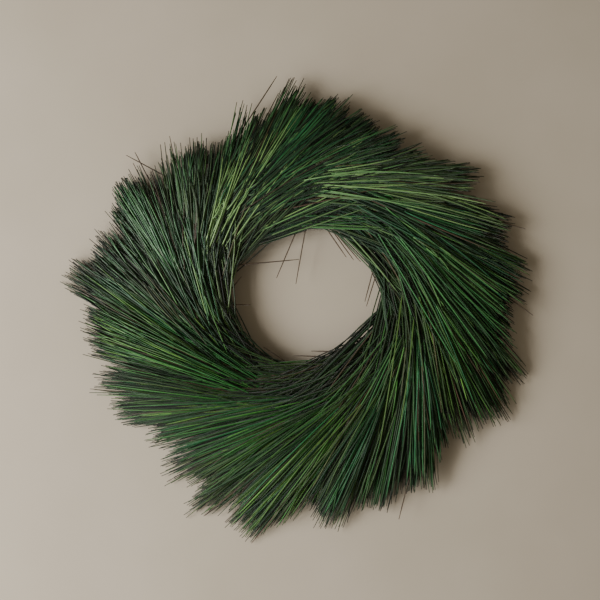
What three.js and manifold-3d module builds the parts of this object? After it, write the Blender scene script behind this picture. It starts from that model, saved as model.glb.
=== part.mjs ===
// Fresh evergreen wreath: long pine needles in sixteen bundles, bound to a wire hoop.
// Each bundle lies over the foot of the next one clockwise, so the whole ring leans that way.
// The wreath lies on its back, front up. Millimetres, +Z up, +Y is the top of the wreath as it
// hangs. Places round the ring are clock angles: degrees clockwise from +Y, seen from the front.
import * as THREE from 'three';
import { mergeVertices } from 'three/addons/utils/BufferGeometryUtils.js';
import Module from 'manifold-3d';

const wasm = await Module();
wasm.setup();

// --- Driving dimensions -----------------------------------------------------------------------

const SEAT_GAP = 0.35; // between pieces that rest on each other

const HOOP_RADIUS = 125; // a 250 mm craft ring
const HOOP_WIRE = 4; // thickness of the ring's wire
const HOOP_STEPS = 48;
const HOOP_SIDES = 5;

const TIE_WIRE = 1.6; // thickness of the binding wire
const TIE_FACE = 2; // width of its outer face, which is flat where it lies on the ground
const TIE_TURNS = 2; // turns round each neck
const TIE_PITCH = 2.6; // clock degrees from one turn to the next
const TIE_END_GAP = 2.2; // clock degrees left between the wire's two ends

const NECK_HALF_WIDTH = 9.6; // of the bound stems and needle feet, across the hoop
const NECK_HALF_HEIGHT = 5;

const NEEDLES = 112; // drawn for each bundle; nearly half of them find room
const NEEDLE_RADIUS = 0.85; // of a needle's three corners, at its thickest
const ROOT_RADIUS = 0.5; // the same where it leaves its sheath
const NEEDLE_SHORTEST = 90;
const NEEDLE_LONGEST = 255;
const NEEDLE_GAP = 0.15; // at least, between needles of one bundle outside its core
const NEEDLE_TRIM = 0.12; // the most that a needle falls short of the rim, as a share of it
const TOP_TRIM = 0.2; // the most that a trimmed needle on top of a bundle falls short further
const TOP_TRIM_CHANCE = 0.3;
const HOLE_RADIUS = 73; // no needle reaches further in than this
const HUG_RADIUS = 77; // of the needles that are bent round the hole's edge
const GROUND_CLEARANCE = 2.5; // under the lowest needle
const FAN_HALF_DEPTH = 8; // of a bundle's spread of needles, front to back, at its tips
const FAN_LOBE = 0.07; // how much shorter a fan is at its two edges, as a share of the rim
const BEND_SHARE = 0.3; // of the clock angle between a needle's root and tip, where it bends
const BEND_DEPTH = 0.8; // of the fan's depth at its tips that it has at the bends
const OUTER_SPREAD = 7; // clock degrees that a bundle's outer needles fall short of its aim
const STRAY = 1.5; // degrees or millimetres that a tip or bend may stray at its first try
const FIRST_LAYER = 12; // height of a bundle's needles at its own neck
const LAYER_RISE = 13; // how much higher a bundle lies where it passes over the first neck
const LAYER_EASE = 0.8; // the power by which that rise eases off over the next necks
const RIM_DROOP = 28; // how far the needles droop from the hoop out to the rim

const SLIVER = 0.05; // faces nearer than this to each other are merged
const SEED = 2207;
const TRIES = 150; // for each needle to find room
const MOST_FREEDOM = 4.5; // how many times further its last try may stray than its first

// Outer radius of the needles every 15 clock degrees, starting at 12 o'clock.
const RIM_RADII = [
  250, 234, 230, 242, 252, 258, 258, 280, 287, 276, 280, 284,
  282, 300, 292, 276, 274, 274, 284, 262, 252, 246, 229, 238,
];
const RIM_STEP = 360 / RIM_RADII.length;
const MEAN_RIM = RIM_RADII.reduce((sum, radius) => sum + radius) / RIM_RADII.length;

// For each bundle: the clock angle of its neck, the clock angle that its needles point to, how far
// they spread to each side of that, and its green.
const BUNDLES = [
  { neck: 12.5, aim: 76, spread: 20, green: '#2f5b40' },
  { neck: 34.5, aim: 97, spread: 23, green: '#2c5f3b' },
  { neck: 57.5, aim: 119, spread: 22, green: '#2d6a38' },
  { neck: 81, aim: 146, spread: 20, green: '#2a6336' },
  { neck: 104, aim: 168, spread: 20, green: '#336f3a' },
  { neck: 127, aim: 187, spread: 20, green: '#2f6b3b' },
  { neck: 150, aim: 208, spread: 22, green: '#33703f' },
  { neck: 173.5, aim: 236, spread: 22, green: '#34703f' },
  { neck: 195.5, aim: 262, spread: 20, green: '#3f7449' },
  { neck: 217, aim: 279, spread: 21, green: '#4a7452' },
  { neck: 239.5, aim: 300, spread: 22, green: '#4c6f54' },
  { neck: 262, aim: 328, spread: 20, green: '#3f6a45' },
  { neck: 284.5, aim: 354, spread: 22, green: '#3e6b44' },
  { neck: 307, aim: 371, spread: 20, green: '#35633f' },
  { neck: 329, aim: 391, spread: 20, green: '#456f50' },
  { neck: 351, aim: 416, spread: 21, green: '#3f6a4c' },
];

// --- Heights that follow from them ------------------------------------------------------------

const HOOP_HEIGHT = TIE_WIRE + SEAT_GAP + HOOP_WIRE / 2;
const NECK_HEIGHT = HOOP_HEIGHT + HOOP_WIRE / 2 + SEAT_GAP + NECK_HALF_HEIGHT;
const TIE_TOP = NECK_HEIGHT + NECK_HALF_HEIGHT + SEAT_GAP + TIE_WIRE / 2;
const TIE_HALF_SPAN = (TIE_TURNS * TIE_PITCH) / 2;

// --- Ring coordinates and chance --------------------------------------------------------------

const GOLDEN_ANGLE = Math.PI * (3 - Math.sqrt(5)); // spreads points evenly over a disc
const radians = THREE.MathUtils.degToRad;
const lerp = THREE.MathUtils.lerp;

// The point at a clock angle, a distance from the ring's centre and a height.
function ringPoint(clock, radius, height) {
  const angle = radians(clock);
  return new THREE.Vector3(radius * Math.sin(angle), radius * Math.cos(angle), height);
}

function clockOf(point) {
  return THREE.MathUtils.euclideanModulo((Math.atan2(point.x, point.y) * 180) / Math.PI, 360);
}

// How far clockwise it is from one clock angle to another.
function turnTo(from, to) {
  return THREE.MathUtils.euclideanModulo(to - from, 360);
}

// The distance from the ring's centre at which a straight line meets a clock angle.
function radiusOnLine(start, end, clock) {
  const out = ringPoint(clock, 1, 0);
  const alongX = end.x - start.x;
  const alongY = end.y - start.y;
  return (start.x * alongY - start.y * alongX) / (out.x * alongY - out.y * alongX);
}

// The outer radius at a clock angle, eased from one listed value to the next.
function rimRadius(clock) {
  const place = THREE.MathUtils.euclideanModulo(clock, 360) / RIM_STEP;
  const index = Math.floor(place);
  const ease = (1 - Math.cos((place - index) * Math.PI)) / 2;
  return lerp(RIM_RADII[index], RIM_RADII[(index + 1) % RIM_RADII.length], ease);
}

// A seeded source of even numbers from 0 to 1 (the mulberry32 rule).
function seededChance(seed) {
  let state = seed;
  return () => {
    state = (state + 0x6d2b79f5) | 0;
    let mixed = Math.imul(state ^ (state >>> 15), 1 | state);
    mixed = (mixed + Math.imul(mixed ^ (mixed >>> 7), 61 | mixed)) ^ mixed;
    return ((mixed ^ (mixed >>> 14)) >>> 0) / 4294967296;
  };
}

// --- Closed meshes and solids -----------------------------------------------------------------

// A closed mesh through rings of corners, with a flat cap or a single point at each end.
function skin(rings) {
  const corners = rings.flat();
  const sides = Math.max(...rings.map((ring) => ring.length));
  const starts = rings.map((_, index) => rings.slice(0, index).flat().length);
  const faces = [];
  const corner = (ring, side) => starts[ring] + (rings[ring].length === 1 ? 0 : side % sides);
  for (let ring = 0; ring + 1 < rings.length; ring++) {
    for (let side = 0; side < sides; side++) {
      const a = corner(ring, side);
      const b = corner(ring, side + 1);
      const c = corner(ring + 1, side + 1);
      const d = corner(ring + 1, side);
      if (a !== b) faces.push(a, b, c);
      if (c !== d) faces.push(a, c, d);
    }
  }
  const last = rings.length - 1;
  for (let side = 1; side + 1 < sides; side++) {
    if (rings[0].length > 1) faces.push(corner(0, 0), corner(0, side + 1), corner(0, side));
    if (rings[last].length > 1) {
      faces.push(corner(last, 0), corner(last, side), corner(last, side + 1));
    }
  }
  const geometry = new THREE.BufferGeometry().setFromPoints(corners);
  geometry.setIndex(faces);
  return geometry;
}

function solidOf(geometry) {
  geometry.deleteAttribute('normal');
  geometry.deleteAttribute('uv');
  const merged = mergeVertices(geometry, 1e-4);
  return new wasm.Manifold(new wasm.Mesh({
    numProp: 3,
    vertProperties: new Float32Array(merged.attributes.position.array),
    triVerts: new Uint32Array(merged.index.array),
  }));
}

// The largest body of a solid, with slivers too small to see taken out.
function geometryOf(solid) {
  const bodies = solid.asOriginal().simplify(SLIVER).decompose();
  bodies.sort((a, b) => b.volume() - a.volume());
  const mesh = bodies[0].getMesh();
  const geometry = new THREE.BufferGeometry();
  geometry.setAttribute('position', new THREE.BufferAttribute(mesh.vertProperties, 3));
  geometry.setIndex(new THREE.BufferAttribute(mesh.triVerts, 1));
  return geometry;
}

// --- Wire pieces ------------------------------------------------------------------------------

function hoopGeometry() {
  const ring = new THREE.TorusGeometry(HOOP_RADIUS, HOOP_WIRE / 2, HOOP_SIDES, HOOP_STEPS);
  ring.translate(0, 0, HOOP_HEIGHT);
  ring.deleteAttribute('normal');
  ring.deleteAttribute('uv');
  return mergeVertices(ring, 1e-3);
}

// One turn of the binding wire, across the hoop: distance out from the hoop, and height.
function tieOutline() {
  const half = NECK_HALF_WIDTH + 2 * SEAT_GAP + TIE_WIRE / 2;
  const flat = half * 0.6;
  const low = TIE_WIRE / 2;
  return [
    [-flat, low], [flat, low], [half, NECK_HEIGHT],
    [flat, TIE_TOP], [-flat, TIE_TOP], [-half, NECK_HEIGHT],
  ].map(([out, height]) => new THREE.Vector2(out, height));
}

// The stations of the binding wire's middle line: TIE_TURNS round each neck, then on to the next.
// Each has its place, the outward directions of the stretches before and after it, across the
// hoop, and the direction of its width, along the hoop and out from it.
function tieStations() {
  const outline = tieOutline();
  const count = outline.length;
  const down = new THREE.Vector2(0, -1);
  const outward = (side) => {
    const along = outline[(side + 1) % count].clone().sub(outline[side % count]).normalize();
    return new THREE.Vector2(along.y, -along.x);
  };
  const stations = [];
  for (const { neck } of BUNDLES) {
    const steps = TIE_TURNS * count;
    for (let step = 0; step <= steps; step++) {
      const corner = outline[step % count];
      const turnsOff = step === steps || (step === 0 && stations.length > 0);
      stations.push({
        clock: neck - TIE_HALF_SPAN + (step / count) * TIE_PITCH,
        out: corner.x,
        height: corner.y,
        before: step === 0 ? down : outward(step + count - 1),
        after: step === steps ? down : outward(step),
        width: new THREE.Vector2(-1, turnsOff ? 1 : 0),
      });
    }
  }
  const end = { ...stations[0], clock: stations[0].clock + 360 - TIE_END_GAP };
  return [...stations, { ...end, after: down, width: new THREE.Vector2(0, 1) }];
}

function tieMiddle(station) {
  return ringPoint(station.clock, HOOP_RADIUS + station.out, station.height);
}

// Three-sided wire with its flat side outwards, mitred at every corner.
function bindingWireGeometry() {
  const rings = tieStations().map((station) => {
    const { clock, before, after, width } = station;
    const mitre = before.clone().add(after).divideScalar(1 + before.dot(after));
    const outward = ringPoint(clock, mitre.x, mitre.y).multiplyScalar(TIE_WIRE / 2);
    const alongHoop = ringPoint(clock + 90, width.x, 0);
    const across = ringPoint(clock, width.y, 0).add(alongHoop).multiplyScalar(TIE_FACE / 2);
    const middle = tieMiddle(station);
    return [
      middle.clone().add(outward).sub(across),
      middle.clone().add(outward).add(across),
      middle.clone().sub(outward),
    ];
  });
  return skin(rings);
}

// --- Pine bundles -----------------------------------------------------------------------------

// The stem core of a bundle, from its cut end through the binding to its tip. Clock degrees past
// the neck, distance out from the hoop, height, half width and half height.
const CORE = [
  [-TIE_HALF_SPAN - 2.3, 0, NECK_HEIGHT - 0.4, NECK_HALF_WIDTH - 1, NECK_HALF_HEIGHT - 0.6],
  [-TIE_HALF_SPAN, 0, NECK_HEIGHT, NECK_HALF_WIDTH, NECK_HALF_HEIGHT],
  [TIE_HALF_SPAN, 0, NECK_HEIGHT, NECK_HALF_WIDTH, NECK_HALF_HEIGHT],
  [7, 1, 14, 7.4, 4.3],
  [15, 4.4, 22, 5.2, 3.4],
  [24, 11.8, 28, 3.8, 2.6],
  [34, 25.8, 32, 2.4, 1.7],
].map(([clock, out, height, halfWidth, halfHeight]) => ({
  clock, out, height, halfWidth, halfHeight,
}));
const CORE_SIDES = 6;
const FIRST_ROOT = 3; // the place in CORE's list after which needles grow

// The core's place and size at a fraction of a step between two entries of CORE.
function coreAt(bundle, place) {
  const index = Math.min(Math.floor(place), CORE.length - 2);
  const share = place - index;
  const mix = (key) => lerp(CORE[index][key], CORE[index + 1][key], share);
  const clock = bundle.neck + mix('clock');
  return {
    clock,
    middle: ringPoint(clock, HOOP_RADIUS + mix('out'), mix('height')),
    halfWidth: mix('halfWidth'),
    halfHeight: mix('halfHeight'),
  };
}

function coreGeometry(bundle) {
  const up = new THREE.Vector3(0, 0, 1);
  const rings = CORE.map((_, index) => {
    const { clock, middle, halfWidth, halfHeight } = coreAt(bundle, index);
    const radial = ringPoint(clock, 1, 0);
    return Array.from({ length: CORE_SIDES }, (_, side) => {
      const turn = (side / CORE_SIDES) * Math.PI * 2;
      const flatTop = Math.sign(Math.round(Math.sin(turn) * 10));
      return middle.clone()
        .addScaledVector(radial, Math.cos(turn) * halfWidth * (flatTop ? 1.2 : 1))
        .addScaledVector(up, flatTop * halfHeight);
    });
  });
  return skin(rings);
}

// The height of a bundle's middle needles, some clock degrees past its neck and at a distance
// from the ring's centre. They climb over the next necks and droop towards the rim.
function layerHeight(passed, radius) {
  const outward = (radius - HOOP_RADIUS) / (MEAN_RIM - HOOP_RADIUS);
  const climb = LAYER_RISE * ((passed * BUNDLES.length) / 360) ** LAYER_EASE;
  return FIRST_LAYER + climb - RIM_DROOP * outward ** 2;
}

// Where a needle leaves its core. Middle and upper needles grow from the core's tip, and those at
// its sides and underneath from its foot, so none need cross.
function needleRoot(bundle, across, above, about) {
  const outlying = Math.min(Math.hypot(across, Math.min(above, 0)), 1);
  const foot = across < 0 ? FIRST_ROOT + 0.2 : FIRST_ROOT - 0.4;
  const last = CORE.length - 1.1;
  const place = THREE.MathUtils.clamp(lerp(last, foot, outlying) + about(1), foot, last);
  const core = coreAt(bundle, place);
  const root = core.middle.clone()
    .addScaledVector(ringPoint(core.clock, 1, 0), core.halfWidth * (0.6 * across + about(0.1)));
  root.z += core.halfHeight * (0.5 * above + about(0.1));
  return root;
}

// A needle's middle line: root, bend and tip. across runs from -1 at the inner edge of the fan to 1
// at its outer edge, above from -1 on its underside to 1 on top. It is straight but for a small
// bend, which takes the inner needles round the edge of the hole. One that would be too long stops
// short of the rim, and outer needles on the underside reach down towards the ground.
function needleLine(bundle, across, above, chance, freedom) {
  const about = (spread) => (chance() + chance() - 1) * spread * freedom;
  const root = needleRoot(bundle, across, above, about);
  const inner = Math.max(-across, 0);
  const tipClock = bundle.aim + bundle.spread * (inner + 0.5 * inner ** 2)
    - OUTER_SPREAD * Math.max(across, 0) + about(STRAY);
  const onTop = above > 0.2 && chance() < TOP_TRIM_CHANCE;
  const trim = NEEDLE_TRIM * chance() + (onTop ? TOP_TRIM * chance() : 0);
  const tipRadius = rimRadius(tipClock) * (1 - FAN_LOBE * across ** 2) * (1 - trim);
  const layer = layerHeight(tipClock - bundle.neck, tipRadius);
  const reachesDown = above < 0 && across > 0;
  const downward = reachesDown ? across * (layer - 2 * GROUND_CLEARANCE) : 0;
  const depth = above * Math.max(FAN_HALF_DEPTH, downward);
  const tip = ringPoint(tipClock, tipRadius, layer + depth + about(STRAY));

  const rootClock = clockOf(root);
  const bendClock = rootClock + BEND_SHARE * turnTo(rootClock, tipClock);
  const straight = radiusOnLine(root, tip, bendClock);
  const pulledIn = lerp(straight, HUG_RADIUS, inner ** 1.5);
  const bendRadius = Math.max(pulledIn, HOLE_RADIUS) + about(STRAY);
  const bendLayer = layerHeight(turnTo(bundle.neck, bendClock), bendRadius);
  const bend = ringPoint(bendClock, bendRadius, bendLayer + BEND_DEPTH * depth + about(STRAY));
  const tooLong = root.distanceTo(bend) + bend.distanceTo(tip) - NEEDLE_LONGEST * (1 - trim);
  if (tooLong > 0) tip.lerp(bend, tooLong / bend.distanceTo(tip));
  return [root, bend, tip];
}

function needleGeometry(line, roll) {
  const along = line[2].clone().sub(line[0]).normalize();
  const across = new THREE.Vector3(along.y, -along.x, 0).normalize();
  const over = along.clone().cross(across);
  const ring = (point, radius) => [0, 1, 2].map((side) => {
    const turn = roll + (side / 3) * Math.PI * 2;
    return point.clone()
      .addScaledVector(across, radius * Math.cos(turn))
      .addScaledVector(over, radius * Math.sin(turn));
  });
  return skin([ring(line[0], ROOT_RADIUS), ring(line[1], NEEDLE_RADIUS), [line[2]]]);
}

// --- What a needle must stay clear of ---------------------------------------------------------

// Closest distance between two straight stretches.
function stretchDistance(a, b) {
  const alongA = a.end.clone().sub(a.start);
  const alongB = b.end.clone().sub(b.start);
  const between = a.start.clone().sub(b.start);
  const aa = alongA.dot(alongA);
  const bb = alongB.dot(alongB);
  const ab = alongA.dot(alongB);
  const ad = alongA.dot(between);
  const bd = alongB.dot(between);
  const clamp = (value) => Math.min(Math.max(value, 0), 1);
  const cross = aa * bb - ab * ab;
  let shareA = cross > 1e-9 ? clamp((ab * bd - ad * bb) / cross) : 0;
  const shareB = clamp((ab * shareA + bd) / bb);
  shareA = clamp((ab * shareB - ad) / aa);
  return between.addScaledVector(alongA, shareA).addScaledVector(alongB, -shareB).length();
}

function tooClose(a, b, gap) {
  return stretchDistance(a, b) < a.radius + b.radius + gap;
}

function stretch(start, end, radius, owner) {
  const box = new THREE.Box3().setFromPoints([start, end]).expandByScalar(radius + SEAT_GAP);
  return { start, end, radius, owner, box };
}

// The hoop, the binding wire and every core as straight stretches with a thickness.
function fixedStretches() {
  const stretches = [];
  const hoopPoint = (step) => ringPoint((step / HOOP_STEPS) * 360, HOOP_RADIUS, HOOP_HEIGHT);
  for (let step = 0; step < HOOP_STEPS; step++) {
    stretches.push(stretch(hoopPoint(step), hoopPoint(step + 1), HOOP_WIRE / 2, 'hoop'));
  }
  const middles = tieStations().map(tieMiddle);
  const wireReach = TIE_WIRE * 0.9; // from the wire's middle line to its widest corner
  for (let index = 0; index + 1 < middles.length; index++) {
    stretches.push(stretch(middles[index], middles[index + 1], wireReach, 'wire'));
  }
  const rounding = 1.1; // of a core's half height, to take in its corners
  const almost = 0.999; // of the way to the next station
  for (const bundle of BUNDLES) {
    for (let index = 0; index + 1 < CORE.length; index++) {
      const from = coreAt(bundle, index);
      const to = coreAt(bundle, index + almost);
      const thick = Math.max(from.halfHeight, to.halfHeight) * rounding;
      for (const lane of [-1, 0, 1]) {
        const shift = (core) => core.middle.clone()
          .addScaledVector(ringPoint(core.clock, 1, 0), lane * Math.max(core.halfWidth - thick, 0));
        stretches.push(stretch(shift(from), shift(to), thick, bundle));
      }
    }
  }
  return stretches;
}

// A needle as two straight stretches. Each also holds what of it lies outside its own core, in
// parts that thicken from its root.
function needleStretches(line, bundle, cores) {
  const steps = 20;
  const furthest = 0.3; // of the first stretch
  const pointAt = (share) => line[0].clone().lerp(line[1], share);
  const isOutside = (share) => cores.every((core) => new THREE.Line3(core.start, core.end)
    .closestPointToPoint(pointAt(share), true, new THREE.Vector3())
    .distanceTo(pointAt(share)) > core.radius);
  let exit = furthest / steps;
  while (exit < furthest && !isOutside(exit)) exit += furthest / steps;
  const part = (from, to) => {
    const thick = lerp(ROOT_RADIUS, NEEDLE_RADIUS, (from + to) / 2);
    return stretch(pointAt(from), pointAt(to), thick, bundle);
  };
  const inner = stretch(line[0], line[1], NEEDLE_RADIUS, bundle);
  const outer = stretch(line[1], line[2], NEEDLE_RADIUS, bundle);
  inner.outside = [part(exit, furthest), part(furthest, 0.6), part(0.6, 1)];
  outer.outside = [outer];
  return [inner, outer];
}

// Whether a needle's stretches are clear of the hole, the ground and all but their own core.
function areClear(parts, bundle, stretches) {
  for (const part of parts) {
    const nearest = new THREE.Line3(part.start, part.end)
      .closestPointToPoint(new THREE.Vector3(0, 0, part.start.z), true, new THREE.Vector3());
    if (Math.hypot(nearest.x, nearest.y) < HOLE_RADIUS) return false;
    if (Math.min(part.start.z, part.end.z) < GROUND_CLEARANCE) return false;
    for (const other of stretches) {
      if (!part.box.intersectsBox(other.box)) continue;
      if (other.owner !== bundle) {
        if (tooClose(part, other, SEAT_GAP)) return false;
      } else if (other.outside) {
        const touches = (mine) => other.outside.some((theirs) => tooClose(mine, theirs, NEEDLE_GAP));
        if (part.outside.some(touches)) return false;
      }
    }
  }
  return true;
}

// Draws every bundle's needles, one from each bundle in turn, and keeps those that are clear.
function needleLines() {
  const chance = seededChance(SEED);
  const stretches = fixedStretches();
  const coresOf = (bundle) => stretches.filter((part) => part.owner === bundle && !part.outside);
  const cores = new Map(BUNDLES.map((bundle) => [bundle, coresOf(bundle)]));
  const lines = new Map(BUNDLES.map((bundle) => [bundle, []]));
  for (let count = 0; count < NEEDLES; count++) {
    const outlying = Math.sqrt((count + 0.5) / NEEDLES);
    const across = outlying * Math.cos(count * GOLDEN_ANGLE);
    const above = outlying * Math.sin(count * GOLDEN_ANGLE);
    for (const bundle of BUNDLES) {
      for (let attempt = 0; attempt < TRIES; attempt++) {
        const freedom = lerp(1, MOST_FREEDOM, attempt / TRIES);
        const line = needleLine(bundle, across, above, chance, freedom);
        const length = line[0].distanceTo(line[2]);
        if (length < NEEDLE_SHORTEST || length > NEEDLE_LONGEST) continue;
        const parts = needleStretches(line, bundle, cores.get(bundle));
        if (!areClear(parts, bundle, stretches)) continue;
        lines.get(bundle).push(line);
        stretches.push(...parts);
        break;
      }
    }
  }
  return lines;
}

function bundleGeometry(bundle, lines) {
  const needles = lines.map((line) => solidOf(needleGeometry(line, clockOf(line[2]))));
  return geometryOf(wasm.Manifold.union([solidOf(coreGeometry(bundle)), ...needles]));
}

// --- The wreath -------------------------------------------------------------------------------

function piece(name, geometry, colour, roughness, metalness) {
  const material = new THREE.MeshStandardMaterial({ color: colour, roughness, metalness });
  const mesh = new THREE.Mesh(geometry, material);
  mesh.name = name;
  return mesh;
}

const wreath = new THREE.Group();
wreath.add(piece('hoop', hoopGeometry(), '#3c4a3a', 0.5, 0.6));
wreath.add(piece('binding_wire', bindingWireGeometry(), '#41503c', 0.45, 0.6));
const lines = needleLines();
BUNDLES.forEach((bundle, index) => {
  const name = `bundle_${String(index + 1).padStart(2, '0')}`;
  wreath.add(piece(name, bundleGeometry(bundle, lines.get(bundle)), bundle.green, 0.6, 0));
});

// The origin is under the middle of the wreath's box, on the ground.
const box = new THREE.Box3().setFromObject(wreath);
const middle = box.getCenter(new THREE.Vector3());
wreath.position.set(-middle.x, -middle.y, -box.min.z);

export default wreath;
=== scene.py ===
# %% [markdown]
# # Fresh evergreen wreath
# Long pine needles, cut fresh and bound in sixteen bundles to a wire ring. Every bundle lies over
# the foot of the next one clockwise, so the whole ring leans that way. The wreath lies on its back,
# front up, and the camera looks straight down on it. Lengths are in metres unless a name ends in mm
# or a comment says so, and places round the ring are clock angles: degrees clockwise from the top.

# %% Load the fixed frame
import math
import random

import bpy
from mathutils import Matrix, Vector


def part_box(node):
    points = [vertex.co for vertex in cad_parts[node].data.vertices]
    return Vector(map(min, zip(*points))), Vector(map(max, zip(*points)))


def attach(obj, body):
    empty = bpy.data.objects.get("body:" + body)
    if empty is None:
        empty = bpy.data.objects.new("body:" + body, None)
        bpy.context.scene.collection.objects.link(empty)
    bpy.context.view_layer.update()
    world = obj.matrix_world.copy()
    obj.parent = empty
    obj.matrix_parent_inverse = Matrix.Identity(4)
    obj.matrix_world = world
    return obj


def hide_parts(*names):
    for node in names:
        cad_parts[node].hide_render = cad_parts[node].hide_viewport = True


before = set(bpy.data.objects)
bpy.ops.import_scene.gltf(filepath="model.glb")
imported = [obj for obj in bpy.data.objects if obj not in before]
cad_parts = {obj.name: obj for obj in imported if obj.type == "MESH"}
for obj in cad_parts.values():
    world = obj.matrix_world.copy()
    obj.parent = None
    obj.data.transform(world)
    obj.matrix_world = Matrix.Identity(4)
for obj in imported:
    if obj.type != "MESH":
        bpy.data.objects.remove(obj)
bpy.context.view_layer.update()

# %% [markdown]
# ## Ring coordinates
# The wire ring is the middle of everything: its box gives the hub, and every needle is placed by a
# clock angle, a distance from the hub and a height. Working in these terms keeps the lean of the
# wreath in one simple law, where x and y would hide it.

# %% The hub and a point on the ring
low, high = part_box("hoop")
HUB = Vector(((low[0] + high[0]) / 2, (low[1] + high[1]) / 2, 0))
HOOP_MM = 125.0       # from the hub to the middle of the ring's wire
MM = 0.001


def ring_point(clock, radius_mm, height_mm):
    """The point at a clock angle, a distance from the hub and a height."""
    turn = math.radians(clock)
    return HUB + Vector((radius_mm * math.sin(turn), radius_mm * math.cos(turn), height_mm)) * MM


def clock_way(offset):
    """The clock angle that an offset from the hub points to, from -180 to 180."""
    return math.degrees(math.atan2(offset.x, offset.y))


def clock_of(point):
    """The clock angle of a point, from 0 to 360."""
    return clock_way(point - HUB) % 360


def mix(a, b, share):
    return a + (b - a) * share


def kept_within(value, least, most):
    return min(max(value, least), most)


print("hub", tuple(round(v, 4) for v in HUB))

# %% [markdown]
# ## The outline of the wreath
# The needle tips don't end on a circle, and the hole isn't round either: the bundles are of
# different lengths, and both edges swell and dip with them. One radius every fifteen degrees, eased
# from each to the next, gives each edge. On top of that the tips stand together in small tufts,
# which come from a seeded list. A noise texture could do all of it, but a short list can be set to
# the real wreath.

# %% Radii of the hole and the rim by clock angle
HOLE_MM = [79, 81, 77, 75, 80, 92, 91, 86, 76, 76, 80, 85,
           88, 90, 93, 93, 90, 93, 95, 92, 84, 77, 73, 78]
RIM_MM = [250, 234, 230, 242, 252, 258, 258, 280, 287, 276, 280, 284,
          282, 300, 292, 276, 274, 274, 284, 262, 252, 246, 229, 238]
TUFT_COUNT = 88
TUFT_SEED = 7
TUFT_RANGE = (-0.13, 0.03)
tuft_draw = random.Random(TUFT_SEED)
# How far out past the rim the tips of each tuft end, or short of it, as a share of its radius.
TUFTS = [tuft_draw.uniform(*TUFT_RANGE) for _ in range(TUFT_COUNT)]


def eased(values, clock):
    """A value from a list that runs once round the clock, eased between its entries."""
    place = (clock % 360) / 360 * len(values)
    index = int(place)
    ease = (1 - math.cos((place - index) * math.pi)) / 2
    return mix(values[index % len(values)], values[(index + 1) % len(values)], ease)


print("rim radius at 3 o'clock", round(eased(RIM_MM, 90)), "mm")

# %% [markdown]
# ## The sixteen bundles
# Each bundle has a neck, where it is bound to the ring, and its twigs run straight on from there,
# along the ring's tangent. The numbers are the clock angle of the neck, the degrees that its
# needles turn in from that tangent, and its finish. Different branches were used, so some bundles
# are sage, some bright green and some deep green.

# %% Table of bundles
BUNDLES = [
    (12.5, 5, "pine_deep"), (34.5, 3, "pine_deep"), (57.5, 2, "pine_bright"),
    (81, 6, "pine_deep"), (104, 5, "pine_bright"), (127, 0, "pine_bright"),
    (150, -2, "pine_bright"), (173.5, 3, "pine_bright"), (195.5, 8, "pine_bright"),
    (217, 3, "pine_cool"), (239.5, 0, "pine_cool"), (262, 7, "pine_cool"),
    (284.5, 12, "pine_cool"), (307, 5, "pine_deep"), (329, 3, "pine_cool"), (351, 6, "pine_cool"),
]
# The bound stems, from the cut end to the twig's tip: clock degrees past the neck, then in mm the
# distance out from the ring, height, half width and half height.
STEM = [(-4.9, 0, 10.9, 8.6, 4.4), (-2.6, 0, 11.3, 9.6, 5), (2.6, 0, 11.3, 9.6, 5),
        (7, 1, 14, 7.4, 4.3), (15, 4.4, 22, 5.2, 3.4), (24, 11.8, 28, 3.8, 2.6),
        (34, 25.8, 31, 2.4, 1.7)]


def stem_at(neck, place, across, above):
    """A point in a bundle's stem: place along it, -1 to 1 across it and -1 to 1 up through it."""
    index = min(int(place), len(STEM) - 2)
    clock, out, height, half_width, half_height = (
        mix(a, b, place - index) for a, b in zip(STEM[index], STEM[index + 1]))
    return ring_point(neck + clock, HOOP_MM + out + across * half_width,
                      height + above * half_height)


print(len(BUNDLES), "bundles")

# %% [markdown]
# ## How one needle runs
# A pine needle is nearly straight. Most of a bundle's needles lie close to the line of their twig,
# like the hairs of a brush, and those on the inner side turn in until they graze the edge of the
# hole. That is why the hole is a polygon of crossing needles and the rim a slanting fringe. Each
# needle starts on the twig, heads off at its own angle, and ends where it meets the rim. Its height
# follows the swell of the wreath: it climbs over the necks that it passes, droops to the rim, and
# the needles that lie further out are on top. A random bow keeps it from being ruled.

# %% Needle law: roots
INNER_FOOT = 2.7           # place along the stem of the first roots, on a bundle's inner side
OUTER_FOOT = 2.4           # the same on its outer side
LAST_ROOT = len(STEM) - 1.1
ROOT_STRAY = 0.5           # chance in a root's place
ROOT_ACROSS = 0.85         # of the stem's half width, where the roots at its sides sit
ROOT_ABOVE = 0.8           # of its half height, where those on top and underneath sit


def needle_root(neck, across, above, draw):
    """Where a needle leaves its stem. Those at its sides and underneath do so nearer its foot."""
    outlying = min(math.hypot(across, min(above, 0)), 1)
    foot = INNER_FOOT if across < 0 else OUTER_FOOT
    place = mix(LAST_ROOT, foot, outlying) + draw.gauss(0, ROOT_STRAY)
    place = kept_within(place, foot, LAST_ROOT)
    return stem_at(neck, place, ROOT_ACROSS * across, ROOT_ABOVE * above)


# %% Needle law: direction and length
TANGENT = 90               # degrees from the way out of the ring to the way along it, clockwise
TURN_IN = 54.0             # degrees that the innermost needles turn in from their twig's line
FAN_OUT = 6.0              # degrees that the outermost needles turn out from it
CROOKED = 4.5              # degrees of chance in a needle's direction
EDGE_STRAY_MM = 5.0        # by which inner needles miss the very edge of the hole
EDGE_AHEAD = 40            # clock degrees from an inner needle's root to where it grazes the hole
LONGEST_MM = 250.0
FIRST_LENGTH_MM = 200.0    # from which a needle's length is worked out in a few rounds
LENGTH_ROUNDS = 3
LEAST_REACH_MM = 20.0      # of a needle past the spot of its line that is nearest to the hub


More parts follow.
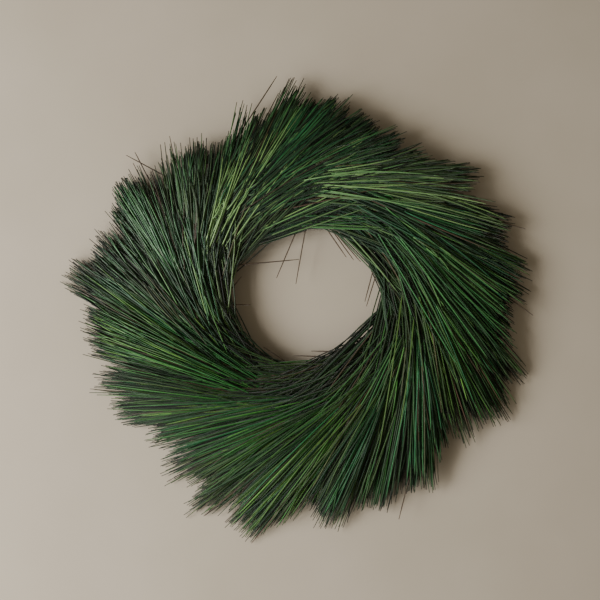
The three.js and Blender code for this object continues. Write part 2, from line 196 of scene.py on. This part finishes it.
def needle_way(start, turn_in, across, draw):
    """A needle's direction. An inner one turns in no further than to graze the hole."""
    clock = clock_of(start)
    out = (start - HUB).xy.length / MM
    turn_in += TURN_IN * max(-across, 0) - FAN_OUT * max(across, 0)
    turn_in = (turn_in + 180) % 360 - 180
    edge = eased(HOLE_MM, clock + EDGE_AHEAD) + abs(draw.gauss(0, EDGE_STRAY_MM))
    if edge < out:
        turn_in = min(turn_in, math.degrees(math.acos(edge / out)))
    angle = math.radians(clock + TANGENT + turn_in)
    return Vector((math.sin(angle), math.cos(angle)))


def needle_length(begin, way, reach):
    """How far it is along a line, in mm, to where it meets the rim and its tufts."""
    tangent = abs(begin.cross(way))
    length = FIRST_LENGTH_MM
    for _ in range(LENGTH_ROUNDS):
        clock = clock_way(begin + way * length)
        radius = eased(RIM_MM, clock) * reach * (1 + eased(TUFTS, clock))
        past = math.sqrt(max(radius ** 2 - tangent ** 2, LEAST_REACH_MM ** 2))
        length = past - begin.dot(way)
    return min(length, LONGEST_MM * reach)


# %% Needle law: height and line
FAN_HALF_DEPTH_MM = 9.5    # of a bundle's needles, front to back
MEAN_RIM_MM = sum(RIM_MM) / len(RIM_MM)
CROWN_MM = 22.0            # height of a fan's middle over the ring, before the climb
DROOP_MM = 22.0            # how far it droops from there to the rim
CLIMB_MM = 6.5             # how much higher a bundle lies over the next neck
CLIMB_EASE = 0.6           # the power by which that climb eases off over the necks after it
BUNDLE_STEP = 360 / len(BUNDLES)
TOP_SIDE_MM = 4.0          # how much higher outer needles lie than middle ones
MIDDLE_TANGENT_MM = 110    # nearest distance to the hub of a middle needle's line
TANGENT_RANGE_MM = 22      # how much further out the line of an outer needle is
LOWEST_MM = 3.0
NEEDLE_STEPS = 8
BOW_MM = 3.0               # chance in a needle's bow to either side
SAG_MM = 2.0               # chance in its bow up or down
RISE_SHARE = 0.4           # share of its length over which a needle rises from root to layer
BEHIND_NECK = 300          # clock degrees past the neck from which a spot counts as before it


def layer_height(passed, radius_mm, tangent_mm):
    """Height of a fan's middle, some clock degrees past its neck."""
    outward = (radius_mm - HOOP_MM) / (MEAN_RIM_MM - HOOP_MM)
    side = kept_within((tangent_mm - MIDDLE_TANGENT_MM) / TANGENT_RANGE_MM, -1, 1)
    climb = CLIMB_MM * (passed / BUNDLE_STEP) ** CLIMB_EASE
    return CROWN_MM - DROOP_MM * outward ** 2 + TOP_SIDE_MM * side + climb


def needle_line(bundle, across, above, reach, swing, draw):
    """The points of a needle. across is -1 at the bundle's inner side and 1 at its outer side,
    above is -1 at its back and 1 at its front, and reach is its share of the way to the rim."""
    neck, turn, _ = bundle
    start = needle_root(neck, across, above, draw)
    turn_in = turn + swing + draw.gauss(0, CROOKED) + neck - clock_of(start)
    way = needle_way(start, turn_in, across, draw)
    begin = (start - HUB).xy / MM
    tangent = abs(begin.cross(way))
    length = needle_length(begin, way, reach)
    bow, sag = draw.gauss(0, BOW_MM), draw.gauss(0, SAG_MM)
    points = []
    for step in range(NEEDLE_STEPS):
        share = step / (NEEDLE_STEPS - 1)
        arch = 4 * share * (1 - share)
        spot = begin + way * (length * share) + Vector((way.y, -way.x)) * (bow * arch)
        passed = (clock_way(spot) - neck) % 360
        layer = layer_height(passed if passed < BEHIND_NECK else 0, spot.length, tangent)
        layer = max(layer + above * FAN_HALF_DEPTH_MM + sag * arch, LOWEST_MM)
        lift = min(share / RISE_SHARE, 1)
        height = mix(start.z / MM, layer, lift * (2 - lift))
        points.append(HUB + Vector((spot.x, spot.y, height)) * MM)
    return points


sample = needle_line(BUNDLES[0], 0, 0, 1, 0, random.Random(1))
print("a middle needle is", round((sample[-1] - sample[0]).length, 3), "m long")

# %% [markdown]
# ## Locks
# Fresh needles cling together in locks that share a direction, a length, a tint and a shade. A
# lock's shade is partly its own tone and partly painted shade: the darkest locks stand in for the
# dark gaps between locks. Scattering every needle on its own gives an even brush that looks machine
# made, so each fan is drawn lock by lock from a seeded source of chance. Some of the upper locks
# are short, and their blunt ends show in the middle of the wreath. A few needles go astray from
# their lock, a few are dry and brown, front needles are painted lighter and back ones darker, and
# along most of the hole's edge the inner needles are painted darker as painted shade.

# %% Numbers for the locks of a fan
LOCKS = 22
NEEDLES_IN_LOCK = 32
GOLDEN_ANGLE = math.pi * (3 - math.sqrt(5))   # spreads the locks evenly over a disc
LOCKS_ACROSS = 0.98           # how far out the locks lie, as a share of the bundle's half width
LOCKS_ABOVE = 0.9             # the same, of its half depth
SPREAD_ACROSS = 0.1           # how far a lock's needles spread, as a share of that half width
SPREAD_ABOVE = 0.16           # the same, of the half depth
ACROSS_LIMITS = (-1.1, 1.1)
ABOVE_LIMITS = (-1.1, 1.15)
SHORT_CHANCE = 0.6            # that an upper lock is short
SHORT_LENGTH = (0.62, 0.92)   # of a short lock, as a share of the way to the rim
FULL_LENGTH = (0.94, 1.01)    # the same of the others
LONGEST_SHARE = 1.04          # of its lock's length that a needle reaches at most
TRIM_SHARE = 0.12             # by which the shortest falls short of that
TRIM_POWER = 1.5              # makes most needles of a lock nearly as long as its longest
LOCK_SWING = 4                # degrees of chance in a lock's direction
ASTRAY_CHANCE = 0.12          # that a needle leaves the direction of its lock
ASTRAY_SWING = 11             # degrees of chance in how far
LOCK_TINT = (0.05, 0.95)
NEEDLE_TINT = 0.15            # chance in a needle's tint, round its lock's
# A lock's shade: partly its own tone and partly painted shade, its darkest locks standing in for
# shaded gaps.
LOCK_SHADE = (0.15, 0.68)
NEEDLE_SHADE = 0.18           # chance in a needle's shade, round its lock's
PAINTED_FRONT_LIGHT = 0.25            # painted light and shade: how much lighter a bundle's front needles are than its middle ones, and its back ones darker
DRY_CHANCE = 0.05             # that a needle is dry and brown
DRYNESS = (0.4, 1)
PAINTED_EDGE_DARKNESS = 0.3           # painted shade: how much darker the innermost needles are painted, where they lie fully in shade
EDGE_POINT = 3                # the point of an inner needle's line that is near the hole's edge
# How fully the needles round the edge of the hole are painted as lying in shade, every 30 clock
# degrees.
EDGE_SHADE = [0.0, 0.0, 0.3, 1.0, 1.0, 1.0, 1.0, 0.8, 0.4, 0.4, 0.1, 0.0]


# %% Draw the locks of a fan
def draw_needle(bundle, lock, draw):
    """A needle of a lock: its line, shade, tint and dryness."""
    across = kept_within(lock["across"] + draw.gauss(0, SPREAD_ACROSS), *ACROSS_LIMITS)
    above = kept_within(lock["above"] + draw.gauss(0, SPREAD_ABOVE), *ABOVE_LIMITS)
    reach = lock["length"] * (LONGEST_SHARE - TRIM_SHARE * draw.random() ** TRIM_POWER)
    astray = draw.gauss(0, ASTRAY_SWING) if draw.random() < ASTRAY_CHANCE else 0
    line = needle_line(bundle, across, above, reach, lock["swing"] + astray, draw)
    # Painted shade darkens the inner needles round the hole's edge, and painted light brightens the
    # front ones.
    painted_edge_shade = PAINTED_EDGE_DARKNESS * max(-across, 0) * eased(EDGE_SHADE, clock_of(line[EDGE_POINT]))
    light = lock["shade"] + PAINTED_FRONT_LIGHT * above - painted_edge_shade + draw.gauss(0, NEEDLE_SHADE)
    tint = lock["tint"] + draw.gauss(0, NEEDLE_TINT)
    dryness = draw.uniform(*DRYNESS) if draw.random() < DRY_CHANCE else 0
    return line, kept_within(light, 0, 1), kept_within(tint, 0, 1), dryness


def draw_fan(bundle, draw):
    """The needles of a bundle, lock by lock."""
    needles = []
    for index in range(LOCKS):
        outlying = math.sqrt((index + 0.5) / LOCKS)
        above = outlying * math.sin(index * GOLDEN_ANGLE) * LOCKS_ABOVE
        is_short = above > 0 and draw.random() < SHORT_CHANCE
        lock = {
            "across": outlying * math.cos(index * GOLDEN_ANGLE) * LOCKS_ACROSS,
            "above": above,
            "length": draw.uniform(*(SHORT_LENGTH if is_short else FULL_LENGTH)),
            "swing": draw.gauss(0, LOCK_SWING),
            "tint": draw.uniform(*LOCK_TINT),
            "shade": draw.uniform(*LOCK_SHADE),
        }
        needles += [draw_needle(bundle, lock, draw) for _ in range(NEEDLES_IN_LOCK)]
    return needles


print(LOCKS * NEEDLES_IN_LOCK, "needles in each fan")

# %% [markdown]
# ## Stray needles
# A few dry needles have slipped half out of their bundles, across the hole's edge or out past the
# rim. The eye picks out each of them, so they are placed one by one and not left to chance. Each
# becomes part of the fan in whose stretch of the clock it leaves the others.

# %% Place the strays
# Clock angle and radius in mm where one leaves the others, then of its tip.
STRAYS = [(294, 81, 346, 40), (357, 91, 294, 40), (1, 93, 304, 16), (317, 79, 360, 74),
          (272, 91, 283, 81), (260, 91, 257, 70), (69, 87, 100, 71), (72, 90, 104, 74),
          (16, 81, 49, 63), (20, 82, 56, 68), (24, 80, 61, 74), (155, 80, 176, 72),
          (164, 82, 192, 79), (198, 88, 218, 85), (82, 197, 96, 274), (309, 221, 307, 273),
          (306, 239, 309, 267), (340, 215, 352, 262), (66, 225, 74, 274), (150, 250, 158, 296)]
STRAY_LEAVES_MM = 24          # height at which one leaves the others
STRAY_TIP_MM = 20             # height of its tip
STRAY_ROOT = 0.05             # how much of it lies among the others
STRAY_LOOK = (0.3, 0.5, 0.8)  # shade, tint and dryness


def stray_line(clock, radius, tip_clock, tip_radius):
    """A needle that starts some way back among the others."""
    leaves = ring_point(clock, radius, STRAY_LEAVES_MM)
    tip = ring_point(tip_clock, tip_radius, STRAY_TIP_MM)
    start = leaves - (tip - leaves).normalized() * STRAY_ROOT
    return [start.lerp(tip, step / (NEEDLE_STEPS - 1)) for step in range(NEEDLE_STEPS)]


def strays_of(number):
    """The strays whose clock falls to a bundle, as needles."""
    own = [stray for stray in STRAYS if int(stray[0] / 360 * len(BUNDLES)) + 1 == number]
    return [(stray_line(*stray), *STRAY_LOOK) for stray in own]


print(len(STRAYS), "stray needles")

# %% [markdown]
# ## From lines to needles
# The lines become needles in Geometry Nodes: each chain of edges is turned into a curve and a
# small three-sided profile is run along it, thickest near the foot and half as thick at the blunt
# tip. Three sides are what a pine needle has, and they keep some eleven thousand of them light.
# The tree is built once, with its sizes as named inputs, and every fan uses it.

# %% Small helpers for trees
def new_tree(name, inputs):
    """A geometry tree with named inputs. Returns it with its input node and socket identifiers."""
    tree = bpy.data.node_groups.new(name, "GeometryNodeTree")
    tree.interface.new_socket("Geometry", in_out="INPUT", socket_type="NodeSocketGeometry")
    identifiers = {}
    for label, kind in inputs:
        socket = tree.interface.new_socket(label, in_out="INPUT", socket_type=kind)
        identifiers[label] = socket.identifier
    tree.interface.new_socket("Geometry", in_out="OUTPUT", socket_type="NodeSocketGeometry")
    return tree, tree.nodes.new("NodeGroupInput"), identifiers


def set_inputs(node, **values):
    """Sets plain values on a node's inputs. An underscore stands for a space in an input's name."""
    for label, value in values.items():
        node.inputs[label.replace("_", " ")].default_value = value


def end_tree(tree, socket, given):
    """Ends a tree in Realize Instances and Set Material."""
    real = tree.nodes.new("GeometryNodeRealizeInstances")
    paint = tree.nodes.new("GeometryNodeSetMaterial")
    out = tree.nodes.new("NodeGroupOutput")
    tree.links.new(socket, real.inputs["Geometry"])
    tree.links.new(real.outputs[0], paint.inputs["Geometry"])
    tree.links.new(given.outputs["Material"], paint.inputs["Material"])
    tree.links.new(paint.outputs[0], out.inputs[0])


def chain_object(name, chains, **values):
    """An object of edge chains. Each value list holds one number for each point."""
    mesh = bpy.data.meshes.new(name)
    points = [point for chain in chains for point in chain]
    edges, start = [], 0
    for chain in chains:
        edges += [(start + i, start + i + 1) for i in range(len(chain) - 1)]
        start += len(chain)
    mesh.from_pydata(points, edges, [])
    for label, numbers in values.items():
        mesh.attributes.new(label, "FLOAT", "POINT").data.foreach_set("value", numbers)
    thing = bpy.data.objects.new(name, mesh)
    bpy.context.scene.collection.objects.link(thing)
    return thing


def settle(thing, tree, identifiers, **settings):
    """Runs a tree on an object and keeps the result as its plain mesh."""
    modifier = thing.modifiers.new("shape", "NODES")
    modifier.node_group = tree
    for label, value in settings.items():
        modifier[identifiers[label.replace("_", " ")]] = value
    evaluated = thing.evaluated_get(bpy.context.evaluated_depsgraph_get())
    mesh = bpy.data.meshes.new_from_object(evaluated)
    thing.modifiers.remove(modifier)
    thing.data = mesh
    for face in mesh.polygons:
        face.use_smooth = True
    return thing


# %% Tree that sweeps a profile along chains
# Thickness by place along a chain. 1 is the full thickness and 0 the tip's share of it.
TAPER = [(0, 0.75), (0.25, 1), (0.7, 0.92), (0.96, 0.6), (1, 0)]


def sweep_tree():
    tree, given, identifiers = new_tree("sweep along chains", [
        ("Thickness", "NodeSocketFloat"), ("Sides", "NodeSocketInt"),
        ("Tip Share", "NodeSocketFloat"), ("Material", "NodeSocketMaterial")])
    curve = tree.nodes.new("GeometryNodeMeshToCurve")
    profile = tree.nodes.new("GeometryNodeCurvePrimitiveCircle")
    sweep = tree.nodes.new("GeometryNodeCurveToMesh")
    along = tree.nodes.new("GeometryNodeInputNamedAttribute")
    along.data_type = "FLOAT"
    taper = tree.nodes.new("ShaderNodeFloatCurve")
    points = taper.mapping.curves[0].points
    points[0].location, points[1].location = TAPER[0], TAPER[-1]
    for place, thickness in TAPER[1:-1]:
        points.new(place, thickness)
    taper.mapping.update()
    blend = tree.nodes.new("ShaderNodeMapRange")
    thick = tree.nodes.new("ShaderNodeMath")
    thick.operation = "MULTIPLY"
    set_inputs(along, Name="along")
    set_inputs(profile, Radius=1)
    set_inputs(sweep, Fill_Caps=True)
    link = tree.links.new
    link(given.outputs["Geometry"], curve.inputs["Mesh"])
    link(given.outputs["Sides"], profile.inputs["Resolution"])
    link(along.outputs["Attribute"], taper.inputs["Value"])
    link(taper.outputs["Value"], blend.inputs["Value"])
    link(given.outputs["Tip Share"], blend.inputs["To Min"])
    link(blend.outputs["Result"], thick.inputs[0])
    link(given.outputs["Thickness"], thick.inputs[1])
    link(thick.outputs[0], sweep.inputs["Scale"])
    link(curve.outputs["Curve"], sweep.inputs["Curve"])
    link(profile.outputs["Curve"], sweep.inputs["Profile Curve"])
    end_tree(tree, sweep.outputs["Mesh"], given)
    return tree, identifiers


SWEEP, SWEEP_INPUTS = sweep_tree()
print("sweep tree has", len(SWEEP.nodes), "nodes")

# %% [markdown]
# ## The green of the needles
# Needles are waxy: a deep green body with a soft bloom that catches the light, brownish at the very
# foot and the very tip. The colour is mixed from the attributes that each needle carries, its
# shade, which is painted light and shade, its tint, its dryness and how far along it a point lies,
# so neighbours differ as real ones do. Fine mottling comes from noise on Object coordinates. The
# bloom is a soft sheen over a half-gloss surface. Three finishes cover the three kinds of branch.

# %% Small helpers for materials
def srgb(red, green, blue):
    """A linear colour from the 0 to 255 numbers of a paint chart."""
    def linear(value):
        value /= 255
        return value / 12.92 if value <= 0.04045 else ((value + 0.055) / 1.055) ** 2.4
    return (linear(red), linear(green), linear(blue), 1)


def new_material(name):
    material = bpy.data.materials.new(name)
    material.use_nodes = True
    nodes = material.node_tree.nodes
    return material, nodes, material.node_tree.links.new, nodes["Principled BSDF"]


def attribute(nodes, name):
    """The value that each point of a piece carries under a name."""
    node = nodes.new("ShaderNodeAttribute")
    node.attribute_name = name
    return node.outputs["Fac"]


def object_noise(nodes, link, scale, detail):
    """Noise that stays where it is on the piece."""
    place = nodes.new("ShaderNodeTexCoord").outputs["Object"]
    noise = nodes.new("ShaderNodeTexNoise")
    set_inputs(noise, Scale=scale, Detail=detail)
    link(place, noise.inputs["Vector"])
    return noise.outputs["Fac"]


# Where a Mix node keeps its sockets for colours: factor, first and second colour, and result.
MIX_FACTOR, MIX_FIRST, MIX_SECOND, MIX_RESULT = 0, 6, 7, 2


def colour_mix(nodes, link, factor, a, b, mode="MIX"):
    """A colour mix whose factor and colours may be sockets or plain values."""
    node = nodes.new("ShaderNodeMix")
    node.data_type, node.blend_type = "RGBA", mode
    for index, value in ((MIX_FACTOR, factor), (MIX_FIRST, a), (MIX_SECOND, b)):
        if isinstance(value, bpy.types.NodeSocket):
            link(value, node.inputs[index])
        else:
            node.inputs[index].default_value = value
    return node.outputs[MIX_RESULT]


def ramp(nodes, link, value, stops):
    """A colour ramp with its stops as (place, colour)."""
    node = nodes.new("ShaderNodeValToRGB")
    elements = node.color_ramp.elements
    while len(elements) < len(stops):
        elements.new(0.5)
    for element, (place, colour) in zip(elements, stops):
        element.position, element.color = place, colour
    link(value, node.inputs["Fac"])
    return node.outputs["Color"]


def set_roughness(nodes, link, surface, value, at_none, at_full):
    """Roughness that follows a value from 0 to 1."""
    node = nodes.new("ShaderNodeMapRange")
    set_inputs(node, To_Min=at_none, To_Max=at_full)
    link(value, node.inputs["Value"])
    link(node.outputs["Result"], surface.inputs["Roughness"])


def set_bump(nodes, link, surface, height, strength, distance):
    """Fine relief. The distance is its real height."""
    node = nodes.new("ShaderNodeBump")
    set_inputs(node, Strength=strength, Distance=distance)
    link(height, node.inputs["Height"])
    link(node.outputs["Normal"], surface.inputs["Normal"])


# %% Needle finish
WHITE = (1, 1, 1, 1)
# What a needle's colour is multiplied by: by its shade, from deep painted shade to full painted
# light, in the patches of its mottling, and from its foot to its tip.
PAINTED_LIGHT_BY_SHADE = [(0, (0.05, 0.06, 0.05, 1)), (0.5, (0.48, 0.58, 0.46, 1)),
                  (1, (1.8, 2.1, 1.6, 1))]
PATCHES = [(0.3, (0.8, 0.8, 0.8, 1)), (0.7, (1.15, 1.15, 1.1, 1))]
BROWN_ENDS = [(0, srgb(112, 88, 58)), (0.05, WHITE), (0.965, WHITE), (1, srgb(128, 100, 74))]
DRY_BROWN = srgb(74, 52, 38)


def needle_finish(name, dark, middle, pale):
    material, nodes, link, surface = new_material(name)
    shade = attribute(nodes, "shade")
    mottle = object_noise(nodes, link, scale=260, detail=3)
    body = ramp(nodes, link, attribute(nodes, "tint"), [(0, dark), (0.5, middle), (1, pale)])
    for value, stops in ((shade, PAINTED_LIGHT_BY_SHADE), (mottle, PATCHES),
                         (attribute(nodes, "along"), BROWN_ENDS)):
        body = colour_mix(nodes, link, 1.0, body, ramp(nodes, link, value, stops), "MULTIPLY")
    body = colour_mix(nodes, link, attribute(nodes, "dry"), body, DRY_BROWN)
    link(body, surface.inputs["Base Color"])
    set_roughness(nodes, link, surface, shade, at_none=0.5, at_full=0.34)
    set_inputs(surface, Specular_IOR_Level=0.45, Sheen_Weight=0.2, Sheen_Roughness=0.4)
    set_bump(nodes, link, surface, mottle, strength=0.155, distance=0.0002)
    return material


FINISHES = {
    "pine_cool": needle_finish("cool pine", srgb(36, 78, 58), srgb(62, 98, 66),
                               srgb(108, 130, 90)),
    "pine_bright": needle_finish("bright pine", srgb(18, 68, 42), srgb(40, 86, 38),
                                 srgb(84, 112, 50)),
    "pine_deep": needle_finish("deep pine", srgb(22, 72, 50), srgb(46, 90, 52),
                               srgb(92, 124, 74)),
}
print("finishes:", ", ".join(FINISHES))

# %% [markdown]
# ## The fans
# Every fan is one piece that stands for the plain bundle of the solid model. The chains of its
# needles carry their shade, tint, dryness and place, the tree gives them thickness, and the result
# is kept as a plain mesh.

# %% Build the sixteen fans
NEEDLE_THICKNESS = 0.00095   # from a needle's middle to its three corners
FAN_SEED = 100               # the first bundle's is one more, and so on


def places_along(chains):
    """0 at the start of each chain to 1 at its end, for each of its points."""
    return [i / (len(chain) - 1) for chain in chains for i in range(len(chain))]


def fan_piece(number, needles, finish):
    chains = [needle[0] for needle in needles]
    values = {"along": places_along(chains)}
    for place, label in enumerate(("shade", "tint", "dry"), start=1):
        values[label] = [needle[place] for needle in needles for _ in needle[0]]
    fan = chain_object(f"needles_{number:02d}", chains, **values)
    return settle(fan, SWEEP, SWEEP_INPUTS, Thickness=NEEDLE_THICKNESS, Sides=3, Tip_Share=0.5,
                  Material=FINISHES[finish])


def stand_in_for(piece, node):
    """Puts a piece on the wreath's body in place of a solid, which it hides."""
    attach(piece, "root")
    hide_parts(node)


triangles = 0
for number, bundle in enumerate(BUNDLES, start=1):
    needles = draw_fan(bundle, random.Random(FAN_SEED + number)) + strays_of(number)
    fan = fan_piece(number, needles, bundle[2])
    stand_in_for(fan, f"bundle_{number:02d}")
    fan.data.calc_loop_triangles()
    triangles += len(fan.data.loop_triangles)
print("fans built,", triangles, "triangles in all")

# %% [markdown]
# ## The wire ring
# The ring is green-painted craft wire, closed on itself. A circle swept along a circle is all that
# it needs, and Geometry Nodes keep its two radii as named inputs.

# %% Painted wire finish
def painted_wire(name, colour, wear):
    material, nodes, link, surface = new_material(name)
    scuff = object_noise(nodes, link, scale=420, detail=5)
    body = ramp(nodes, link, scuff, [(0.0, colour), (0.62, colour), (0.72, wear)])
    link(body, surface.inputs["Base Color"])
    set_roughness(nodes, link, surface, scuff, at_none=0.3, at_full=0.55)
    set_inputs(surface, Coat_Weight=0.3)
    set_bump(nodes, link, surface, scuff, strength=0.2, distance=0.0001)
    return material


# %% Tree and piece of the ring
RING_WIRE_MM = 2.0           # from the middle of the ring's wire to its skin
# A chain for the tree to run on. The tree makes its own curves, so this one leaves no trace.
BLANK_CHAIN = [Vector(), Vector((0.01, 0, 0))]


def ring_tree():
    tree, given, identifiers = new_tree("wire ring", [
        ("Ring Radius", "NodeSocketFloat"), ("Wire Radius", "NodeSocketFloat"),
        ("Material", "NodeSocketMaterial")])
    path = tree.nodes.new("GeometryNodeCurvePrimitiveCircle")
    profile = tree.nodes.new("GeometryNodeCurvePrimitiveCircle")
    sweep = tree.nodes.new("GeometryNodeCurveToMesh")
    place = tree.nodes.new("GeometryNodeTransform")
    set_inputs(path, Resolution=160)
    set_inputs(profile, Resolution=14)
    set_inputs(place, Translation=(HUB.x, HUB.y, (low[2] + high[2]) / 2))
    link = tree.links.new
    link(given.outputs["Ring Radius"], path.inputs["Radius"])
    link(given.outputs["Wire Radius"], profile.inputs["Radius"])
    link(path.outputs["Curve"], sweep.inputs["Curve"])
    link(profile.outputs["Curve"], sweep.inputs["Profile Curve"])
    link(sweep.outputs["Mesh"], place.inputs["Geometry"])
    end_tree(tree, place.outputs[0], given)
    return tree, identifiers


ring = settle(chain_object("ring_wire", [BLANK_CHAIN]), *ring_tree(),
              Ring_Radius=HOOP_MM * MM, Wire_Radius=RING_WIRE_MM * MM,
              Material=painted_wire("green ring wire", srgb(44, 58, 42), srgb(120, 122, 112)))
stand_in_for(ring, "hoop")
print("ring wire has", len(ring.data.polygons), "faces")

# %% [markdown]
# ## The binding wire
# One thin wire goes round the whole wreath: twice round each neck and the ring together, then on
# to the next neck along the back. Its corners lie where the solid model has them, and the tree
# rounds them off with Fillet Curve, since real wire bends in a small arc.

# %% The path of the binding wire
TIE_RADIUS_MM = 0.8
TIE_CORNER_MM = 4.0   # radius of its bends
TIE_TURNS = 2         # round each neck
TIE_PITCH = 2.6       # clock degrees from one turn to the next
TIE_END_GAP = 2.2     # clock degrees left between the wire's two ends
# The corners of one turn: distance out from the ring, and height.
TIE_OUTLINE_MM = [(-6.66, 0.8), (6.66, 0.8), (11.1, 11.3), (6.66, 17.45), (-6.66, 17.45),
                  (-11.1, 11.3)]


def tie_corner(clock, index):
    out, height = TIE_OUTLINE_MM[index % len(TIE_OUTLINE_MM)]
    return ring_point(clock, HOOP_MM + out, height)


def binding_path():
    """The wire's corners, from the first neck round to just before it again."""
    path = []
    corners = len(TIE_OUTLINE_MM)
    for neck, *_ in BUNDLES:
        path += [tie_corner(neck - TIE_PITCH + step / corners * TIE_PITCH, step)
                 for step in range(TIE_TURNS * corners + 1)]
    path.append(tie_corner(BUNDLES[0][0] - TIE_PITCH - TIE_END_GAP, 0))
    return path


def binding_tree():
    tree, given, identifiers = new_tree("binding wire", [
        ("Wire Radius", "NodeSocketFloat"), ("Corner Radius", "NodeSocketFloat"),
        ("Material", "NodeSocketMaterial")])
    curve = tree.nodes.new("GeometryNodeMeshToCurve")
    fillet = tree.nodes.new("GeometryNodeFilletCurve")
    profile = tree.nodes.new("GeometryNodeCurvePrimitiveCircle")
    sweep = tree.nodes.new("GeometryNodeCurveToMesh")
    fillet.mode = "POLY"
    set_inputs(fillet, Count=4, Limit_Radius=True)
    set_inputs(profile, Resolution=8)
    set_inputs(sweep, Fill_Caps=True)
    link = tree.links.new
    link(given.outputs["Geometry"], curve.inputs["Mesh"])
    link(curve.outputs["Curve"], fillet.inputs["Curve"])
    link(given.outputs["Corner Radius"], fillet.inputs["Radius"])
    link(given.outputs["Wire Radius"], profile.inputs["Radius"])
    link(fillet.outputs["Curve"], sweep.inputs["Curve"])
    link(profile.outputs["Curve"], sweep.inputs["Profile Curve"])
    end_tree(tree, sweep.outputs["Mesh"], given)
    return tree, identifiers


binding = settle(chain_object("tie_wire", [binding_path()]), *binding_tree(),
                 Wire_Radius=TIE_RADIUS_MM * MM, Corner_Radius=TIE_CORNER_MM * MM,
                 Material=painted_wire("green binding wire", srgb(58, 74, 52),
                                       srgb(150, 148, 138)))
stand_in_for(binding, "binding_wire")
print("binding wire has", len(binding.data.polygons), "faces")

# %% [markdown]
# ## Cut twigs
# Under the needles each bundle has three woody twigs. They show only at the back, so a rounder
# sweep by the needles' own tree, along the stem's line, is enough for them.

# %% Bark finish and twigs
TWIG_SEED = 500              # the first bundle's is one more, and so on
TWIGS_ACROSS = (-0.6, 0.0, 0.6)   # where the twigs lie, as a share of the stem's half width
TWIG_ABOVE = 0.5             # how far above or below its middle one may lie, of its half height
TWIG_CROOK = 0.05            # chance in its place across the stem, at each point
TWIG_PLACES = (0.0, 0.7, 1.5, 2.3, 3.0, 3.7, 4.4, 5.1, 5.8)   # along the stem
TWIG_THICKNESS = 0.002       # from a twig's middle to its skin
# The stretch of the taper that a twig uses, so that its cut end is thick and its tip is blunt.
TWIG_TAPER_START, TWIG_TAPER_SPAN = 0.15, 0.8


def bark_finish():
    material, nodes, link, surface = new_material("pine bark")
    grain = object_noise(nodes, link, scale=350, detail=6)
    body = ramp(nodes, link, grain, [(0.3, srgb(62, 46, 34)), (0.55, srgb(104, 80, 58)),
                                     (0.75, srgb(142, 116, 86))])
    link(body, surface.inputs["Base Color"])
    set_inputs(surface, Roughness=0.8)
    set_bump(nodes, link, surface, grain, strength=0.7, distance=0.0006)
    return material


def draw_twigs(neck, draw):
    """The lines of a bundle's twigs."""
    chains = []
    for across in TWIGS_ACROSS:
        above = draw.uniform(-TWIG_ABOVE, TWIG_ABOVE)
        chains.append([stem_at(neck, place, across + draw.gauss(0, TWIG_CROOK), above)
                       for place in TWIG_PLACES])
    return chains


BARK = bark_finish()
for number, (neck, _, finish) in enumerate(BUNDLES, start=1):
    chains = draw_twigs(neck, random.Random(TWIG_SEED + number))
    along = [TWIG_TAPER_START + TWIG_TAPER_SPAN * place for place in places_along(chains)]
    twigs = settle(chain_object(f"twigs_{number:02d}", chains, along=along), SWEEP, SWEEP_INPUTS,
                   Thickness=TWIG_THICKNESS, Sides=8, Tip_Share=0.2, Material=BARK)
    stand_in_for(twigs, f"bundle_{number:02d}")
print(len(TWIGS_ACROSS), "twigs in each bundle")

# %% [markdown]
# ## Floor, light and camera
# The wreath lies on a plain pale surface. Two windows light it softly, a strong one from the left
# and a weaker one from the lower left, so that its shadow falls a few centimetres to the right. The
# camera hangs above it, with the hub a little right of and above the middle of the picture.

# %% Floor
FLOOR_HALF_SIDE = 2.5


def plain_floor():
    mesh = bpy.data.meshes.new("floor")
    corners = [(x * FLOOR_HALF_SIDE, y * FLOOR_HALF_SIDE, 0)
               for x, y in ((-1, -1), (1, -1), (1, 1), (-1, 1))]
    mesh.from_pydata(corners, [], [(0, 1, 2, 3)])
    floor = bpy.data.objects.new("floor", mesh)
    bpy.context.scene.collection.objects.link(floor)
    material, nodes, link, surface = new_material("pale plaster")
    cloud = object_noise(nodes, link, scale=6, detail=4)
    body = ramp(nodes, link, cloud, [(0.3, srgb(190, 180, 162)), (0.7, srgb(198, 188, 171))])
    link(body, surface.inputs["Base Color"])
    set_inputs(surface, Roughness=0.9)
    mesh.materials.append(material)


plain_floor()

# %% Light
DAYLIGHT = (1, 0.97, 0.93)


def window_light(name, place, aim, size, power):
    """A soft square light. Its power is in watts."""
    light = bpy.data.lights.new(name, "AREA")
    light.shape, light.size, light.energy, light.color = "SQUARE", size, power, DAYLIGHT
    lamp = bpy.data.objects.new(name, light)
    lamp.location = place
    lamp.rotation_euler = (Vector(aim) - Vector(place)).to_track_quat("-Z", "Y").to_euler()
    bpy.context.scene.collection.objects.link(lamp)


window_light("window", (-1.45, -0.15, 1.1), aim=(0, 0, 0), size=1.0, power=40)
window_light("low window", (-1.0, -1.1, 0.7), aim=(-0.3, -0.4, 0), size=0.9, power=11)
world = bpy.data.worlds.new("soft room")
world.use_nodes = True
set_inputs(world.node_tree.nodes["Background"], Color=(1, 0.87, 0.66, 1), Strength=0.2)
bpy.context.scene.world = world

# %% Camera
CAMERA_FROM_HUB = Vector((-0.0084, -0.0102, 2.4))
camera_data = bpy.data.cameras.new("camera")
camera_data.sensor_width = 36
camera_data.lens = 118.5     # in mm, long enough to see the wreath without steep perspective
camera = bpy.data.objects.new("camera", camera_data)
camera.location = HUB + CAMERA_FROM_HUB
bpy.context.scene.collection.objects.link(camera)
bpy.context.scene.camera = camera
